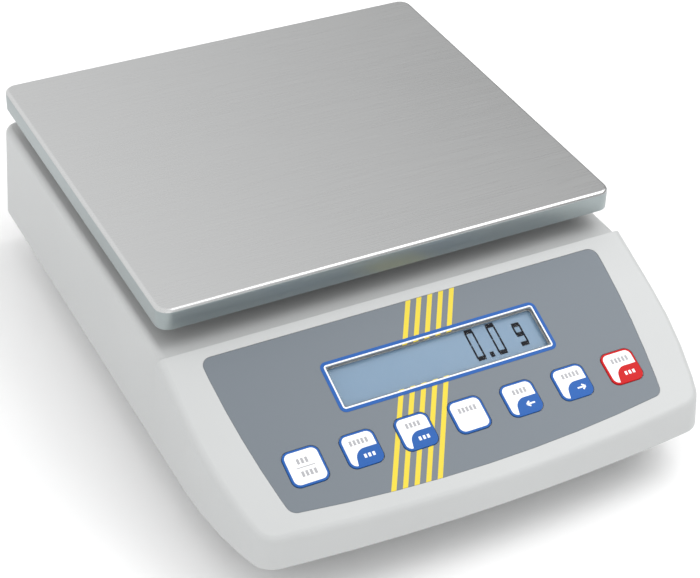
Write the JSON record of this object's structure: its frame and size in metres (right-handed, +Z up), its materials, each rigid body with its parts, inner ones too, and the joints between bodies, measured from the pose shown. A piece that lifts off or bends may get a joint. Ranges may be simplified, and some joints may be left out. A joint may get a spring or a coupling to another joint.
{
  "type": "counting scale",
  "caption": "Bench counting scale with a rimmed steel pan over a wedge-fronted plastic housing that holds a load cell, display and keys",
  "frame": {"origin": "on the floor under the middle of the housing's outline", "axes": "+Y from the operator towards the rear connectors, +X to the operator's right, +Z up"},
  "size_m": [0.263, 0.343, 0.106],
  "materials": {
    "pan_steel": "brushed stainless sheet",
    "black_rubber": "matt moulded rubber",
    "cast_alloy": "as-cast, bead blasted",
    "machined_alloy": "milled and clear anodised",
    "zinc_screw": "zinc plated",
    "plated_sheet": "zinc plated sheet",
    "brass_part": "turned",
    "housing_plastic": "light grey moulded plastic with a fine grain",
    "overlay_foil": "blue-grey matt printed film",
    "clear_window": "clear acrylic",
    "display_blue": "pale blue liquid crystal display",
    "white_plastic": "white moulding",
    "circuit_board": "green solder mask",
    "black_plastic": "black moulding",
    "key_white": "white printed key with a blue edge",
    "key_red": "white printed key with a red edge",
    "cable_jacket": "soft grey sheath",
    "ribbon_jacket": "flat grey ribbon",
    "battery_case": "plain dark sleeve",
    "foot_plastic": "black moulded knob on a steel stud"
  },
  "bodies": {
    "housing": {"load_cell": "machined_alloy", "lower_spacer": "machined_alloy", "load_cell_screws": "zinc_screw", "chassis_plate": "plated_sheet", "chassis_screws": "zinc_screw", "overload_stops": "plated_sheet", "stop_nuts": "brass_part", "upper_housing": "housing_plastic", "lower_housing": "housing_plastic", "housing_screws": "zinc_screw", "front_foil": "overlay_foil", "display_window": "clear_window", "display_glass": "display_blue", "display_holder": "white_plastic", "display_board": "circuit_board", "display_board_screws": "zinc_screw", "key_switches": "black_plastic", "main_board": "circuit_board", "main_board_screws": "zinc_screw", "signal_shield": "plated_sheet", "power_jack": "black_plastic", "serial_port": "plated_sheet", "load_cell_cable": "cable_jacket", "ribbon_cable": "ribbon_jacket", "battery": "battery_case", "battery_clip": "black_plastic", "foot_nuts": "brass_part"},
    "pan_carrier": {"pan_support": "cast_alloy", "pan_buffers": "black_rubber", "support_screws": "zinc_screw", "upper_spacer": "machined_alloy"},
    "pan": {"weighing_pan": "pan_steel"},
    "key_on_off": {"key_on_off": "key_white"},
    "key_print": {"key_print": "key_white"},
    "key_reference": {"key_reference": "key_white"},
    "key_mode": {"key_mode": "key_white"},
    "key_left": {"key_left": "key_white"},
    "key_right": {"key_right": "key_white"},
    "key_tare": {"key_tare": "key_red"},
    "battery_cover": {"battery_cover": "housing_plastic"},
    "foot_sole_front_left": {"foot_sole_front_left": "black_rubber"},
    "foot_screw_front_left": {"foot_screw_front_left": "foot_plastic"},
    "foot_sole_front_right": {"foot_sole_front_right": "black_rubber"},
    "foot_screw_front_right": {"foot_screw_front_right": "foot_plastic"},
    "foot_sole_rear_left": {"foot_sole_rear_left": "black_rubber"},
    "foot_screw_rear_left": {"foot_screw_rear_left": "foot_plastic"},
    "foot_sole_rear_right": {"foot_sole_rear_right": "black_rubber"},
    "foot_screw_rear_right": {"foot_screw_rear_right": "foot_plastic"}
  },
  "joints": [
    {"name": "support_deflection", "type": "slide", "parent": "housing", "child": "pan_carrier", "axis": [0, 0, 1], "range_m": [-0.0005, 0], "stiffness_N_per_m": 100000, "springref_m": 0.0004, "deforming": ["load_cell"]},
    {"name": "pan_lift_off", "type": "slide", "parent": "pan_carrier", "child": "pan", "axis": [0, 0, 1], "range_m": [0, 0.06]},
    {"name": "key_on_off_press", "type": "slide", "parent": "housing", "child": "key_on_off", "axis": [0, 0.3689, -0.9295], "range_m": [0, 0.0005], "stiffness_N_per_m": 500, "springref_m": -0.001},
    {"name": "key_print_press", "type": "slide", "parent": "housing", "child": "key_print", "axis": [0, 0.3689, -0.9295], "range_m": [0, 0.0005], "stiffness_N_per_m": 500, "springref_m": -0.001},
    {"name": "key_reference_press", "type": "slide", "parent": "housing", "child": "key_reference", "axis": [0, 0.3689, -0.9295], "range_m": [0, 0.0005], "stiffness_N_per_m": 500, "springref_m": -0.001},
    {"name": "key_mode_press", "type": "slide", "parent": "housing", "child": "key_mode", "axis": [0, 0.3689, -0.9295], "range_m": [0, 0.0005], "stiffness_N_per_m": 500, "springref_m": -0.001},
    {"name": "key_left_press", "type": "slide", "parent": "housing", "child": "key_left", "axis": [0, 0.3689, -0.9295], "range_m": [0, 0.0005], "stiffness_N_per_m": 500, "springref_m": -0.001},
    {"name": "key_right_press", "type": "slide", "parent": "housing", "child": "key_right", "axis": [0, 0.3689, -0.9295], "range_m": [0, 0.0005], "stiffness_N_per_m": 500, "springref_m": -0.001},
    {"name": "key_tare_press", "type": "slide", "parent": "housing", "child": "key_tare", "axis": [0, 0.3689, -0.9295], "range_m": [0, 0.0005], "stiffness_N_per_m": 500, "springref_m": -0.001},
    {"name": "battery_cover_slide", "type": "slide", "parent": "housing", "child": "battery_cover", "axis": [0, -1, 0], "range_m": [0, 0.058]},
    {"name": "foot_reach_front_left", "type": "slide", "parent": "housing", "child": "foot_sole_front_left", "axis": [0, 0, -1], "range_m": [0, 0.008]},
    {"name": "foot_turn_front_left", "type": "hinge", "parent": "foot_sole_front_left", "child": "foot_screw_front_left", "pos_m": [-0.098, -0.12, 0.007], "axis": [0, 0, -1], "range_deg": [0, 2881]},
    {"name": "foot_reach_front_right", "type": "slide", "parent": "housing", "child": "foot_sole_front_right", "axis": [0, 0, -1], "range_m": [0, 0.008]},
    {"name": "foot_turn_front_right", "type": "hinge", "parent": "foot_sole_front_right", "child": "foot_screw_front_right", "pos_m": [0.098, -0.12, 0.007], "axis": [0, 0, -1], "range_deg": [0, 2881]},
    {"name": "foot_reach_rear_left", "type": "slide", "parent": "housing", "child": "foot_sole_rear_left", "axis": [0, 0, -1], "range_m": [0, 0.008]},
    {"name": "foot_turn_rear_left", "type": "hinge", "parent": "foot_sole_rear_left", "child": "foot_screw_rear_left", "pos_m": [-0.098, 0.135, 0.007], "axis": [0, 0, -1], "range_deg": [0, 2881]},
    {"name": "foot_reach_rear_right", "type": "slide", "parent": "housing", "child": "foot_sole_rear_right", "axis": [0, 0, -1], "range_m": [0, 0.008]},
    {"name": "foot_turn_rear_right", "type": "hinge", "parent": "foot_sole_rear_right", "child": "foot_screw_rear_right", "pos_m": [0.098, 0.135, 0.007], "axis": [0, 0, -1], "range_deg": [0, 2881]}
  ],
  "couplings": [
    {"joint": "foot_turn_front_left", "follows": "foot_reach_front_left", "rad_per_m": 6283.2},
    {"joint": "foot_turn_front_right", "follows": "foot_reach_front_right", "rad_per_m": 6283.2},
    {"joint": "foot_turn_rear_left", "follows": "foot_reach_rear_left", "rad_per_m": 6283.2},
    {"joint": "foot_turn_rear_right", "follows": "foot_reach_rear_right", "rad_per_m": 6283.2}
  ]
}
